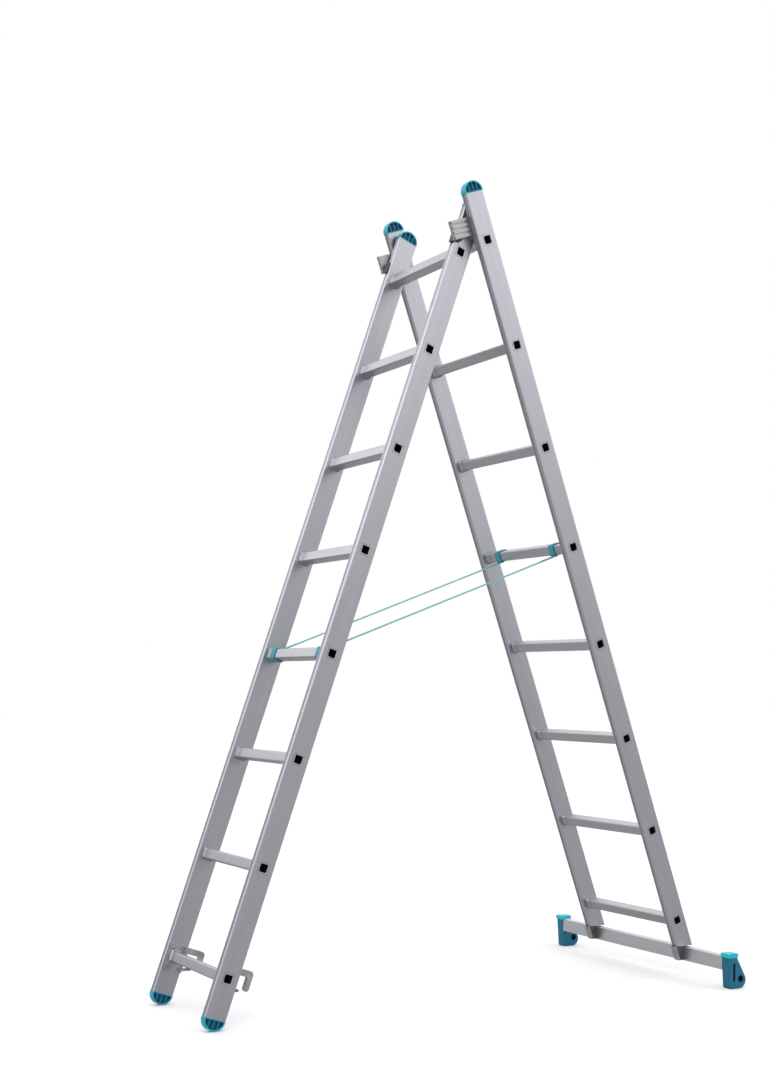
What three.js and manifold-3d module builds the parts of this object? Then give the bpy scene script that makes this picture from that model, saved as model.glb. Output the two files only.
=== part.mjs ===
// Two-section combination ladder standing as an A-frame, millimetres, +Z up.
// The base section (with the stabiliser bar) stands on the +X side, the fly section on the -X side.
// Rungs run along Y. "near" pieces are on the -Y side and "far" pieces on the +Y side.
import * as THREE from 'three';
import { mergeVertices } from 'three/addons/utils/BufferGeometryUtils.js';
import Module from 'manifold-3d';

const wasm = await Module();
wasm.setup();

// ---- both sections ----
const RUNG_COUNT = 8;
const RUNG_PITCH = 280;
const RUNG_SIZE = 28;
const RUNG_WALL = 1.6;
const RUNG_CORNER = 4;
const RUNG_PROUD = 0.6; // swaged end standing out of the stile's outer face
const STILE_DEPTH = 58; // front face to back face
const STILE_THICK = 20; // along the rungs
const STILE_WALL = 2;
const STILE_CORNER = 3;
const GAP = 0.3; // clearance between separate touching pieces
const TOP_ABOVE_RUNG = 125; // stile end above the top rung's centre

// ---- base section: its top rung's centre, lean and width ----
const BASE_TOP_X = 2.9;
const BASE_TOP_Z = 2006.8;
const BASE_LEAN = THREE.MathUtils.degToRad(20.35);
const BASE_WIDTH = 420;
const BASE_CUT_Z = 93; // the stiles are cut level just above the stabiliser bar

// ---- fly section ----
const FLY_TOP_X = -59.7;
const FLY_TOP_Z = 1972.8;
const FLY_LEAN = THREE.MathUtils.degToRad(19.4);
const FLY_WIDTH = 356;
const FLY_FOOT_DOWN = 2060.3; // stile end below the top rung's centre

// ---- end caps ----
const CAP_RADIUS = STILE_DEPTH / 2;
const CAP_FLANGE = 1.8;
const CAP_RIM = 3.6;
const CAP_POCKET = 7;
const CAP_RIB = 2.6;
const CAP_RIBS_AT = [-13, 0, 13];
const PLUG_LENGTH = 22;

// ---- stabiliser bar, its connectors and feet ----
const BAR_FRONT_X = 712.9;
const BAR_THICK = 22;
const BAR_LOW_Z = 50;
const BAR_HIGH_Z = 90;
const BAR_WALL = 2;
const BAR_END_Y = 364;
const BAR_FOOT_END_Y = 395;
const BAR_ROLL_X = 751.9; // centre of the foot's rounded heel
const BAR_ROLL_R = 22;
const CONNECTOR_LOW_Z = 52;
const CONNECTOR_PROUD = 4;

// ---- guide brackets, guide shoes and the spread pivot ----
const PIVOT_UP = 29.5; // above the fly's top rung centre, along the stile
const PIVOT_FRONT = 26.5; // in front of the fly's centre line
const BRACKET_WALL_IN = 184.5;
const BRACKET_WALL_OUT = 189.7;
const BRACKET_FRONT = -86;
const BRACKET_BACK = 20;
const BRACKET_LOW = 21;
const BRACKET_HIGH = 70;
const BRACKET_LIP_IN = 180;
const BRACKET_LIP = 3.4;
const BRACKET_RIB_OUT = 193.2;
const BRACKET_RIBS = 4;
const BRACKET_RIB_HIGH = 8;
const PIVOT_PIN_R = 5;
const SHOE_PAD_R = 9.9; // round end of the shoe's pad, which turns inside the bracket's lip

// ---- hooks and latches, in the fly's frame ----
const HOOK_PLATE = 4;
const HOOK_WIDE = 16;
const HOOK_ARM_LOW = -1944.5;
const HOOK_ARM_HIGH = -1928;
const HOOK_TIP_LOW = -1979;
const HOOK_TIP_IN = 61;
const HOOK_TIP_OUT = 73;
const HOOK_PLATE_LOW = -1999;
const LATCH_PIVOT_X = 20;
const LATCH_PIVOT_Z = -1990;
const LATCH_TIP_X = 45;
const LATCH_TIP_Z = -1981.5;

// ---- spreader straps ----
const STRAP_Y = 130;
const STRAP_WIDE = 24;
const STRAP_THICK = 2.4; // of a loop, where the webbing is doubled
const BAND_THICK = 1.6;
const STRAP_BASE_RUNG = 4;
const STRAP_FLY_RUNG = 5;

const ALUMINIUM = { color: 0xb4b4bd, roughness: 0.36, metalness: 0.85 };
const EXTRUSION = { color: 0xa9a9ac, roughness: 0.42, metalness: 0.85 };
const DARK_METAL = { color: 0x74747a, roughness: 0.5, metalness: 0.7 };
const STEEL = { color: 0x97979c, roughness: 0.38, metalness: 0.9 };
const BLUE_PLASTIC = { color: 0x127fa6, roughness: 0.45, metalness: 0 };
const GREY_NYLON = { color: 0x4c4f55, roughness: 0.55, metalness: 0 };
const TEAL_WEBBING = { color: 0x2f9fb0, roughness: 0.85, metalness: 0 };

// ---- geometry helpers ----

function toSolid(geometry) {
  const bare = geometry.clone();
  bare.deleteAttribute('normal');
  bare.deleteAttribute('uv');
  const welded = mergeVertices(bare, 1e-4);
  return new wasm.Manifold(new wasm.Mesh({
    numProp: 3,
    vertProperties: new Float32Array(welded.attributes.position.array),
    triVerts: new Uint32Array(welded.index.array),
  }));
}

function toGeometry(solid) {
  const mesh = solid.getMesh();
  const geometry = new THREE.BufferGeometry();
  geometry.setAttribute('position', new THREE.BufferAttribute(new Float32Array(mesh.vertProperties), 3));
  geometry.setIndex(new THREE.BufferAttribute(new Uint32Array(mesh.triVerts), 1));
  geometry.computeVertexNormals();
  return geometry;
}

function join(...geometries) {
  return toGeometry(geometries.map(toSolid).reduce((a, b) => a.add(b)));
}

function cut(body, ...tools) {
  return toGeometry(tools.map(toSolid).reduce((a, b) => a.subtract(b), toSolid(body)));
}

function box(x0, x1, y0, y1, z0, z1) {
  const geometry = new THREE.BoxGeometry(Math.abs(x1 - x0), Math.abs(y1 - y0), Math.abs(z1 - z0));
  return geometry.translate((x0 + x1) / 2, (y0 + y1) / 2, (z0 + z1) / 2);
}

function roundedRect(centreA, centreB, sizeA, sizeB, radius) {
  const a = sizeA / 2;
  const b = sizeB / 2;
  const shape = new THREE.Shape();
  shape.moveTo(centreA - a + radius, centreB - b);
  shape.lineTo(centreA + a - radius, centreB - b);
  shape.absarc(centreA + a - radius, centreB - b + radius, radius, -Math.PI / 2, 0);
  shape.lineTo(centreA + a, centreB + b - radius);
  shape.absarc(centreA + a - radius, centreB + b - radius, radius, 0, Math.PI / 2);
  shape.lineTo(centreA - a + radius, centreB + b);
  shape.absarc(centreA - a + radius, centreB + b - radius, radius, Math.PI / 2, Math.PI);
  shape.lineTo(centreA - a, centreB - b + radius);
  shape.absarc(centreA - a + radius, centreB - b + radius, radius, Math.PI, Math.PI * 1.5);
  return shape;
}

function polygon(points) {
  return new THREE.Shape(points.map(([a, b]) => new THREE.Vector2(a, b)));
}

// A shape drawn in the X-Z plane, extruded along Y from y0 to y1.
function plate(shape, y0, y1, curveSegments = 1) {
  const low = Math.min(y0, y1);
  const high = Math.max(y0, y1);
  const geometry = new THREE.ExtrudeGeometry(shape, { depth: high - low, bevelEnabled: false, curveSegments });
  return geometry.rotateX(Math.PI / 2).translate(0, high, 0);
}

// A round pin along Y.
function pin(x, z, radius, y0, y1, sides = 16) {
  const geometry = new THREE.CylinderGeometry(radius, radius, Math.abs(y1 - y0), sides);
  return geometry.translate(x, (y0 + y1) / 2, z);
}

function piece(parent, name, geometry, look) {
  const mesh = new THREE.Mesh(geometry, new THREE.MeshStandardMaterial(look));
  mesh.name = name;
  parent.add(mesh);
  return mesh;
}

// ---- pieces of a section; local +X is the section's back-facing normal for the fly and its
// outward normal for the base, local +Z runs up the stiles, the origin is the top rung's centre ----

function stile(outerY, lowZ, highZ) {
  const middleY = outerY - Math.sign(outerY) * STILE_THICK / 2;
  const outline = roundedRect(0, middleY, STILE_DEPTH, STILE_THICK, STILE_CORNER);
  const hollow = roundedRect(0, middleY, STILE_DEPTH - 2 * STILE_WALL, STILE_THICK - 2 * STILE_WALL, 1);
  outline.holes.push(hollow);
  const depth = highZ - lowZ;
  const tube = new THREE.ExtrudeGeometry(outline, { depth, bevelEnabled: false, curveSegments: 1 });
  tube.translate(0, 0, lowZ);
  const holes = [];
  for (let i = 0; i < RUNG_COUNT; i += 1) {
    const size = RUNG_SIZE + 2 * GAP;
    const hole = roundedRect(0, -i * RUNG_PITCH, size, size, RUNG_CORNER + GAP);
    holes.push(plate(hole, middleY - STILE_THICK, middleY + STILE_THICK, 1));
  }
  return cut(tube, ...holes);
}

// Hollow square rung with a pressed collar against each stile's inner face.
function rung(width, z, collarInset) {
  const end = width / 2 + RUNG_PROUD;
  const outline = roundedRect(0, z, RUNG_SIZE, RUNG_SIZE, RUNG_CORNER);
  outline.holes.push(roundedRect(0, z, RUNG_SIZE - 2 * RUNG_WALL, RUNG_SIZE - 2 * RUNG_WALL, 2));
  const tube = plate(outline, -end, end, 1);
  const collarOut = width / 2 - STILE_THICK - GAP - collarInset;
  const collars = [-1, 1].map((side) => {
    const ring = roundedRect(0, z, RUNG_SIZE + 7, RUNG_SIZE + 7, RUNG_CORNER + 3);
    ring.holes.push(roundedRect(0, z, RUNG_SIZE - 1, RUNG_SIZE - 1, RUNG_CORNER));
    return plate(ring, side * collarOut, side * (collarOut - 3), 1);
  });
  return join(tube, ...collars);
}

// Half-round end cap: a rim arch with ribbed pockets on both sides and a plug in the stile's end.
function endCap(outerY, endZ, up) {
  const middleY = outerY - Math.sign(outerY) * STILE_THICK / 2;
  const seat = endZ + up * GAP;
  const base = seat + up * CAP_FLANGE;
  const startAngle = up > 0 ? 0 : Math.PI;
  const dome = new THREE.Shape();
  dome.moveTo(-up * CAP_RADIUS, seat);
  dome.lineTo(up * CAP_RADIUS, seat);
  dome.lineTo(up * CAP_RADIUS, base);
  dome.absellipse(0, base, CAP_RADIUS, CAP_RADIUS - CAP_FLANGE, startAngle, startAngle + Math.PI);
  const body = plate(dome, middleY - STILE_THICK / 2, middleY + STILE_THICK / 2, 6);
  const inner = new THREE.Shape();
  inner.absellipse(0, base, CAP_RADIUS - CAP_RIM, CAP_RADIUS - CAP_FLANGE - CAP_RIM,
    startAngle, startAngle + Math.PI);
  const pockets = [-1, 1].map((side) => {
    const face = middleY + side * STILE_THICK / 2;
    return plate(inner, face - side * CAP_POCKET, face + side * 2, 5);
  });
  const ribs = CAP_RIBS_AT.map((x) => box(x - CAP_RIB / 2, x + CAP_RIB / 2,
    middleY - STILE_THICK / 2 + 0.8, middleY + STILE_THICK / 2 - 0.8, base - up, base + up * 23));
  const clippedRibs = ribs.map((rib) => toGeometry(toSolid(rib).intersect(toSolid(body))));
  const inside = STILE_WALL + GAP + 1;
  const plug = box(-STILE_DEPTH / 2 + inside, STILE_DEPTH / 2 - inside,
    middleY - STILE_THICK / 2 + inside, middleY + STILE_THICK / 2 - inside, seat + up, seat - up * PLUG_LENGTH);
  return join(cut(body, ...pockets), ...clippedRibs, plug);
}

// ---- base section ----

const baseSection = new THREE.Group();
baseSection.position.set(BASE_TOP_X, 0, BASE_TOP_Z);
baseSection.rotation.y = -BASE_LEAN;

const cutAlong = (BASE_CUT_Z - BASE_TOP_Z) / Math.cos(BASE_LEAN);
const SIDES = [['near', -1], ['far', 1]];

// Removes everything below the level cut at the foot of a base stile.
function levelCut(geometry) {
  const below = box(-150, 150, -300, 300, -150, 0);
  below.rotateY(BASE_LEAN).translate(0, 0, cutAlong);
  return cut(geometry, below);
}

// Guide bracket: a ribbed wall riveted inside the base stile, with a lip in front of the fly's stile.
function guideBracket(side) {
  const wall = box(BRACKET_FRONT, BRACKET_BACK, side * BRACKET_WALL_IN, side * BRACKET_WALL_OUT,
    BRACKET_LOW, BRACKET_HIGH);
  const lip = box(BRACKET_FRONT, BRACKET_FRONT + BRACKET_LIP, side * BRACKET_LIP_IN, side * (BRACKET_WALL_IN + 1),
    BRACKET_LOW, BRACKET_HIGH);
  const ribs = [];
  const ribPitch = (BRACKET_HIGH - BRACKET_LOW - 2 - BRACKET_RIB_HIGH) / (BRACKET_RIBS - 1);
  for (let i = 0; i < BRACKET_RIBS; i += 1) {
    const low = BRACKET_LOW + 1 + i * ribPitch;
    ribs.push(box(BRACKET_FRONT + 1, -STILE_DEPTH / 2 - 1, side * (BRACKET_WALL_OUT - 1), side * BRACKET_RIB_OUT,
      low, low + BRACKET_RIB_HIGH));
  }
  const pivot = pivotInBase();
  const socket = pin(pivot.x, pivot.z, PIVOT_PIN_R + GAP, side * (BRACKET_WALL_IN - 2),
    side * (BRACKET_WALL_OUT - 1.2), 24);
  return cut(join(wall, lip, ...ribs), socket);
}

// The spread pivot, given in the fly's frame, found in the base's frame.
function pivotInBase() {
  const fly = new THREE.Vector3(-PIVOT_FRONT, 0, PIVOT_UP);
  const world = fly.applyAxisAngle(new THREE.Vector3(0, 1, 0), FLY_LEAN);
  world.add(new THREE.Vector3(FLY_TOP_X - BASE_TOP_X, 0, FLY_TOP_Z - BASE_TOP_Z));
  return world.applyAxisAngle(new THREE.Vector3(0, 1, 0), BASE_LEAN);
}

for (const [where, side] of SIDES) {
  const outer = side * BASE_WIDTH / 2;
  piece(baseSection, `base_stile_${where}`, levelCut(stile(outer, cutAlong - 40, TOP_ABOVE_RUNG)), ALUMINIUM);
  piece(baseSection, `base_top_cap_${where}`, endCap(outer, TOP_ABOVE_RUNG, 1), BLUE_PLASTIC);
  piece(baseSection, `guide_bracket_${where}`, guideBracket(side), EXTRUSION);
  for (const [spot, x] of [['front', -18], ['back', 8]]) {
    const head = pin(x, 42, 4.5, side * (BRACKET_WALL_IN - GAP), side * (BRACKET_WALL_IN - 2.4), 12);
    piece(baseSection, `bracket_rivet_${where}_${spot}`, head, STEEL);
  }
}
for (let i = 0; i < RUNG_COUNT; i += 1) {
  piece(baseSection, `base_rung_${i + 1}`, rung(BASE_WIDTH, -i * RUNG_PITCH, 0), ALUMINIUM);
}

// ---- stabiliser bar, upright at the foot of the base section ----

const barGroup = new THREE.Group();
const barBackX = BAR_FRONT_X + BAR_THICK;
const barMiddleX = BAR_FRONT_X + BAR_THICK / 2;
const barMiddleZ = (BAR_LOW_Z + BAR_HIGH_Z) / 2;

const barOutline = roundedRect(barMiddleX, barMiddleZ, BAR_THICK, BAR_HIGH_Z - BAR_LOW_Z, 2);
barOutline.holes.push(roundedRect(barMiddleX, barMiddleZ, BAR_THICK - 2 * BAR_WALL,
  BAR_HIGH_Z - BAR_LOW_Z - 2 * BAR_WALL, 1));
piece(barGroup, 'stabiliser_bar', plate(barOutline, -BAR_END_Y, BAR_END_Y, 1), EXTRUSION);

// Foot: a leg over the bar's end with an overhanging top lip and a rounded, hollow heel.
function barFoot(side) {
  const inner = side * (BAR_END_Y + GAP);
  const outer = side * BAR_FOOT_END_Y;
  const outline = new THREE.Shape();
  outline.moveTo(BAR_FRONT_X - 2, 94);
  outline.lineTo(BAR_FRONT_X + 5, 3);
  outline.lineTo(BAR_FRONT_X + 8, 0);
  outline.lineTo(BAR_ROLL_X, 0);
  outline.absarc(BAR_ROLL_X, BAR_ROLL_R, BAR_ROLL_R, -Math.PI / 2, Math.PI / 6);
  outline.lineTo(barBackX + 7, 84);
  outline.lineTo(barBackX + 7, 94);
  const leg = plate(outline, inner, outer, 5);
  const lip = plate(roundedRect(barMiddleX + 1.7, 92.7, 36.6, 12.6, 2), inner, side * (BAR_FOOT_END_Y + 1.5), 1);
  const plug = box(BAR_FRONT_X + 3, barBackX - 3, inner + side, inner - side * 24, BAR_LOW_Z + 3, BAR_HIGH_Z - 3);
  const heelHollow = pin(BAR_ROLL_X + 3, BAR_ROLL_R + 4, 9.5, outer + side * 2, outer - side * 14, 20);
  const slot = plate(roundedRect(barMiddleX + 6, 46, 9, 52, 4), outer + side * 2, outer - side * 4, 1);
  return cut(join(leg, lip, plug), heelHollow, slot);
}

// Connector: fills the stile's cut end and holds the bar behind its front face.
function connector(side) {
  const outer = side * BASE_WIDTH / 2;
  const inner = side * (BASE_WIDTH / 2 - STILE_THICK);
  const frontAt = (z) => BASE_TOP_X + (BASE_TOP_Z - z) * Math.tan(BASE_LEAN)
    - (STILE_DEPTH / 2) / Math.cos(BASE_LEAN);
  const top = BASE_CUT_Z - GAP;
  const back = BAR_FRONT_X - GAP;
  const block = polygon([
    [frontAt(top), top], [frontAt(CONNECTOR_LOW_Z), CONNECTOR_LOW_Z], [back, CONNECTOR_LOW_Z], [back, top],
  ]);
  const flange = polygon([
    [frontAt(top) - CONNECTOR_PROUD, top], [frontAt(CONNECTOR_LOW_Z) - CONNECTOR_PROUD, CONNECTOR_LOW_Z],
    [frontAt(CONNECTOR_LOW_Z) + 1, CONNECTOR_LOW_Z], [frontAt(top) + 1, top],
  ]);
  const inset = 3.5;
  const tongueLow = top - 2;
  const tongueHigh = top + 36;
  const tongue = polygon([
    [frontAt(tongueLow) + 5, tongueLow], [frontAt(tongueLow) + 26, tongueLow],
    [frontAt(tongueHigh) + 26, tongueHigh], [frontAt(tongueHigh) + 5, tongueHigh],
  ]);
  return join(
    plate(block, outer - side * 3, inner + side * 3),
    plate(flange, outer, inner),
    plate(tongue, outer - side * inset, inner + side * inset),
  );
}

for (const [where, side] of SIDES) {
  piece(barGroup, `bar_connector_${where}`, connector(side), DARK_METAL);
  piece(barGroup, `bar_foot_${where}`, barFoot(side), BLUE_PLASTIC);
}

// ---- fly section ----

const flySection = new THREE.Group();
flySection.position.set(FLY_TOP_X, 0, FLY_TOP_Z);
flySection.rotation.y = FLY_LEAN;

// Hook: a plate round the bottom rung's end, with an arm and a downward tip behind the stile.
function hook(side) {
  const face = side * (FLY_WIDTH / 2 - STILE_THICK - GAP);
  const plateIn = face - side * HOOK_PLATE;
  const wideIn = face - side * HOOK_WIDE;
  const back = plate(roundedRect(2.5, (HOOK_PLATE_LOW + HOOK_ARM_HIGH) / 2, 53, HOOK_ARM_HIGH - HOOK_PLATE_LOW, 5),
    face, plateIn, 2);
  const arm = new THREE.Shape();
  arm.moveTo(16, HOOK_ARM_LOW);
  arm.lineTo(HOOK_TIP_IN - 4, HOOK_ARM_LOW);
  arm.absarc(HOOK_TIP_IN - 4, HOOK_ARM_LOW - 4, 4, Math.PI / 2, 0, true);
  arm.lineTo(HOOK_TIP_IN, HOOK_TIP_LOW + 4);
  arm.lineTo(HOOK_TIP_IN + 4, HOOK_TIP_LOW);
  arm.lineTo(HOOK_TIP_OUT - 4, HOOK_TIP_LOW);
  arm.lineTo(HOOK_TIP_OUT, HOOK_TIP_LOW + 6);
  arm.lineTo(HOOK_TIP_OUT, HOOK_ARM_HIGH - 9);
  arm.absarc(HOOK_TIP_OUT - 9, HOOK_ARM_HIGH - 9, 9, 0, Math.PI / 2);
  arm.lineTo(16, HOOK_ARM_HIGH);
  const rungZ = -(RUNG_COUNT - 1) * RUNG_PITCH;
  const rungHole = plate(roundedRect(0, rungZ, RUNG_SIZE + 2 * GAP, RUNG_SIZE + 2 * GAP, RUNG_CORNER + GAP),
    face + side * 3, wideIn - side * 3, 1);
  const pivotHole = pin(LATCH_PIVOT_X, LATCH_PIVOT_Z, 3 + GAP, face + side * 2, plateIn - side * 2, 16);
  return cut(join(back, plate(arm, face, wideIn, 2)), rungHole, pivotHole);
}

// Latch: a small lever hinged on the hook's plate, whose cross pin closes the hook's mouth.
function latch(side) {
  const face = side * (FLY_WIDTH / 2 - STILE_THICK - GAP - HOOK_PLATE - GAP);
  const inner = face - side * 4;
  const reach = Math.hypot(LATCH_TIP_X - LATCH_PIVOT_X, LATCH_TIP_Z - LATCH_PIVOT_Z);
  const angle = Math.atan2(LATCH_TIP_Z - LATCH_PIVOT_Z, LATCH_TIP_X - LATCH_PIVOT_X);
  const lever = plate(roundedRect(reach / 2, 0, reach + 8, 8, 3.9), face, inner, 2);
  lever.rotateY(-angle).translate(LATCH_PIVOT_X, 0, LATCH_PIVOT_Z);
  const pivot = pin(LATCH_PIVOT_X, LATCH_PIVOT_Z, 3, face + side * (HOOK_PLATE - 0.6), inner - side * 1.5, 16);
  const crossPin = pin(LATCH_TIP_X, LATCH_TIP_Z, 3, face + side * 4, inner - side * 8, 12);
  return join(lever, pivot, crossPin);
}

for (const [where, side] of SIDES) {
  const outer = side * FLY_WIDTH / 2;
  piece(flySection, `fly_stile_${where}`, stile(outer, -FLY_FOOT_DOWN, TOP_ABOVE_RUNG), ALUMINIUM);
  piece(flySection, `fly_top_cap_${where}`, endCap(outer, TOP_ABOVE_RUNG, 1), BLUE_PLASTIC);
  piece(flySection, `fly_foot_${where}`, endCap(outer, -FLY_FOOT_DOWN, -1), BLUE_PLASTIC);
  piece(flySection, `hook_${where}`, hook(side), EXTRUSION);
  piece(flySection, `latch_${where}`, latch(side), STEEL);
  const headFace = side * (FLY_WIDTH / 2 - STILE_THICK - HOOK_PLATE - 2 * GAP);
  for (const [spot, z] of [['upper', -1937], ['lower', -1984]]) {
    piece(flySection, `hook_rivet_${where}_${spot}`, pin(-13, z, 4, headFace, headFace - side * 2.2, 12), STEEL);
  }
}
for (let i = 0; i < RUNG_COUNT; i += 1) {
  const inset = i === RUNG_COUNT - 1 ? HOOK_PLATE + GAP : 0;
  piece(flySection, `fly_rung_${i + 1}`, rung(FLY_WIDTH, -i * RUNG_PITCH, inset), ALUMINIUM);
}

// Guide shoe: turns on a pin in the bracket and lets the fly's stile slide through.
function guideShoe(side) {
  const padIn = side * (FLY_WIDTH / 2 + 0.7);
  const padOut = side * (BRACKET_WALL_IN - 0.5);
  const pad = plate(roundedRect(-23, PIVOT_UP, 27, 2 * SHOE_PAD_R + 0.2, SHOE_PAD_R), padIn, padOut, 4);
  const front = -STILE_DEPTH / 2 - 0.6;
  const flange = box(front - 5.4, front, side * (FLY_WIDTH / 2 - STILE_THICK + 3), side * (BRACKET_LIP_IN - 0.8),
    PIVOT_UP - 14, PIVOT_UP + 14);
  const bridge = box(front - 5.4, front, side * (FLY_WIDTH / 2 - 1), padOut, PIVOT_UP - 6, PIVOT_UP + 6);
  const stub = pin(-PIVOT_FRONT, PIVOT_UP, PIVOT_PIN_R, padOut - side, side * (BRACKET_WALL_OUT - 1.7), 24);
  return join(pad, flange, bridge, stub);
}

const shoes = new THREE.Group();
shoes.position.copy(flySection.position);
shoes.rotation.copy(flySection.rotation);
for (const [where, side] of SIDES) {
  piece(shoes, `guide_shoe_${where}`, guideShoe(side), GREY_NYLON);
}

// ---- spreader straps: a loop round a rung of each section and a taut band between the loops ----

const loopIn = RUNG_SIZE / 2 + GAP;
const loopOut = loopIn + STRAP_THICK;

function strapLoop(parent, name, rungNumber, side) {
  const z = -(rungNumber - 1) * RUNG_PITCH;
  const ring = roundedRect(0, z, 2 * loopOut, 2 * loopOut, RUNG_CORNER + STRAP_THICK);
  ring.holes.push(roundedRect(0, z, 2 * loopIn, 2 * loopIn, RUNG_CORNER));
  const half = STRAP_WIDE / 2;
  piece(parent, name, plate(ring, side * (STRAP_Y - half), side * (STRAP_Y + half), 1), TEAL_WEBBING);
}

// A point of a section's frame, in the object's frame.
function inWorld(section, x, z) {
  const point = new THREE.Vector3(x, 0, z).applyAxisAngle(new THREE.Vector3(0, 1, 0), section.rotation.y);
  return point.add(section.position);
}

const bandStart = inWorld(flySection, loopOut + GAP + 1, -(STRAP_FLY_RUNG - 1) * RUNG_PITCH + 11);
const bandEnd = inWorld(baseSection, -loopOut - GAP - 1, -(STRAP_BASE_RUNG - 1) * RUNG_PITCH - 13);
const bandRun = bandEnd.clone().sub(bandStart);
const bandAngle = Math.atan2(bandRun.z, bandRun.x);

for (const [where, side] of SIDES) {
  const half = STRAP_WIDE / 2;
  strapLoop(baseSection, `strap_loop_base_${where}`, STRAP_BASE_RUNG, side);
  strapLoop(flySection, `strap_loop_fly_${where}`, STRAP_FLY_RUNG, side);
  const band = box(0, bandRun.length(), -half, half, -BAND_THICK / 2, BAND_THICK / 2);
  const mesh = piece(barGroup, `strap_band_${where}`, band, TEAL_WEBBING);
  mesh.position.set(bandStart.x, side * STRAP_Y, bandStart.z);
  mesh.rotation.y = -bandAngle;
}

const ladder = new THREE.Group();
ladder.add(baseSection, barGroup, flySection, shoes);

export default ladder;
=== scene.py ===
"""Looks of the two-section combination ladder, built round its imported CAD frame. Metres, +Z up.

Every piece of a section is built in that section's frame: X square to its face, Y along the rungs,
Z up the stiles. The frames and the overall sizes come from the CAD nodes. Sizes of details that the
CAD leaves out are set here.
"""

import math

import bmesh
import bpy
from mathutils import Matrix, Vector


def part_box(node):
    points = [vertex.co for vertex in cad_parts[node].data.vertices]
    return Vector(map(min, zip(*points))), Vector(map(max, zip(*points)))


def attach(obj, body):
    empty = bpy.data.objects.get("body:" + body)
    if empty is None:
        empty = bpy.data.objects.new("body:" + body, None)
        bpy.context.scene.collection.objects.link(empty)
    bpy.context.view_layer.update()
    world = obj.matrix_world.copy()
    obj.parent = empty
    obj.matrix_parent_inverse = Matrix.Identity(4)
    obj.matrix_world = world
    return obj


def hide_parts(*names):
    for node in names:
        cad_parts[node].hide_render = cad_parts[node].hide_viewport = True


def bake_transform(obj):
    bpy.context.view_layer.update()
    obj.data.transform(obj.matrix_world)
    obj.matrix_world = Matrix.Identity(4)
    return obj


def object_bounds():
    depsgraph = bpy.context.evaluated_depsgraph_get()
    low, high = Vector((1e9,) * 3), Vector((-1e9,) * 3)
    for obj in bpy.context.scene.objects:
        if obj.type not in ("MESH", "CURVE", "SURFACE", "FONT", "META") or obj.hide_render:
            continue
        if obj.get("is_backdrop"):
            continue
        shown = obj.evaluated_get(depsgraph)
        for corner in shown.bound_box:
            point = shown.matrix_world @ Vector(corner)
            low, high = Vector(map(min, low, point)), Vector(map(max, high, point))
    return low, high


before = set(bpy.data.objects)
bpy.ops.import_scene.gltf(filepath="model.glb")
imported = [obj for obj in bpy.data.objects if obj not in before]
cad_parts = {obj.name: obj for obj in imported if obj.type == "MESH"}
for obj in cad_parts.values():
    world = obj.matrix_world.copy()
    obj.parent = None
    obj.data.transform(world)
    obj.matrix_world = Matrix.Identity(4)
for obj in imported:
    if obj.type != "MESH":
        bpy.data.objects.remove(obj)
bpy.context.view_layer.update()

SIDES = (("near", -1), ("far", 1))
RUNGS = 8
MM = 0.001


# ---------------------------------------------------------------- frames and boxes


def centre(node):
    low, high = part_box(node)
    return (low + high) / 2


def section_frame(rung):
    """A section's frame: origin at its top rung, Z up its stiles, Y along its rungs."""
    top = centre(f"{rung}_1")
    up = (top - centre(f"{rung}_{RUNGS}")).normalized()
    side = Vector((0, 1, 0))
    out = side.cross(up)
    matrix = Matrix((out, side, up)).transposed().to_4x4()
    matrix.translation = (top.x, 0, top.z)
    return matrix


BASE = section_frame("base_rung")
FLY = section_frame("fly_rung")
WORLD = Matrix.Identity(4)


def local_box(node, place):
    """Lowest and highest corners of a CAD node in a section's frame."""
    inverse = place.inverted()
    points = [inverse @ v.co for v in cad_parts[node].data.vertices]
    low = Vector(min(p[i] for p in points) for i in range(3))
    high = Vector(max(p[i] for p in points) for i in range(3))
    return low, high


# ---------------------------------------------------------------- materials


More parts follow.
